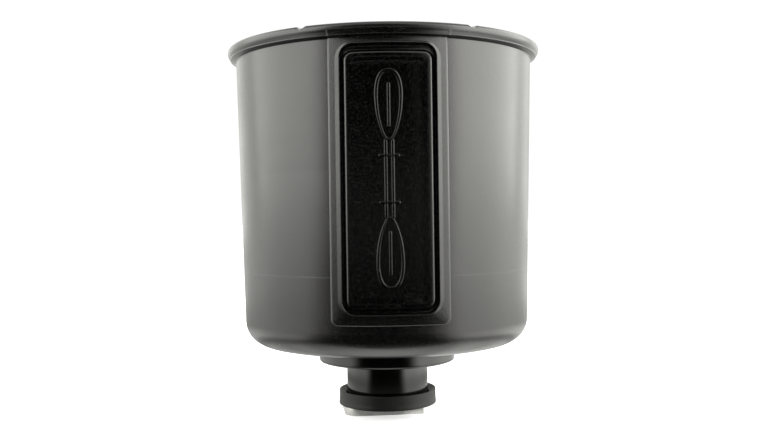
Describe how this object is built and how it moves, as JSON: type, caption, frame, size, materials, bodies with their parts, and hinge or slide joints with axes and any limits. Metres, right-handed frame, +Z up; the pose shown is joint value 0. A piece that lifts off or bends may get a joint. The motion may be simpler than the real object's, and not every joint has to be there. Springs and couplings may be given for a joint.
{
  "type": "track-mounted cup holder",
  "caption": "Round open cup holder with a soft finned liner, standing on a short neck with a rubber foot and a track bolt; spinning the cup clamps it to a rail.",
  "frame": {"origin": "centre of the rubber collar's lower face, which seats on the track", "axes": "+Z up along the cup's axis and the bolt's stud, -Y towards the front, where the raised pad is"},
  "size_m": [0.108, 0.108, 0.1265],
  "materials": {
    "shell_plastic": "fine matt texture",
    "liner_rubber": "soft matt",
    "pad_rubber": "matt",
    "base_plastic": "satin",
    "nut_steel": "plain",
    "retainer_plastic": "plain",
    "screw_steel": "plain",
    "collar_rubber": "satin rubber",
    "washer_plastic": "slippery, waxy",
    "bolt_steel": "sawn and tumbled"
  },
  "bodies": {
    "bolt": {"track_bolt": "bolt_steel"},
    "collar": {"rubber_collar": "collar_rubber", "thrust_washer": "washer_plastic"},
    "cup": {"cup_shell": "shell_plastic", "track_base": "base_plastic", "hex_nut": "nut_steel", "nut_retainer": "retainer_plastic", "base_screws": "screw_steel", "floor_pad": "pad_rubber"},
    "liner": {"grip_liner": "liner_rubber"}
  },
  "joints": [
    {"name": "thread_rise", "type": "slide", "parent": "bolt", "child": "collar", "axis": [0, 0, 1], "range_m": [0, 0.00476]},
    {"name": "cup_spin", "type": "hinge", "parent": "collar", "child": "cup", "pos_m": [0, 0, 0], "axis": [0, 0, 1], "range_deg": [0, 1350]},
    {"name": "liner_lift", "type": "slide", "parent": "cup", "child": "liner", "axis": [0, 0, 1], "range_m": [0, 0.1]}
  ],
  "couplings": [
    {"joint": "thread_rise", "follows": "cup_spin", "m_per_rad": 0.00020213}
  ]
}
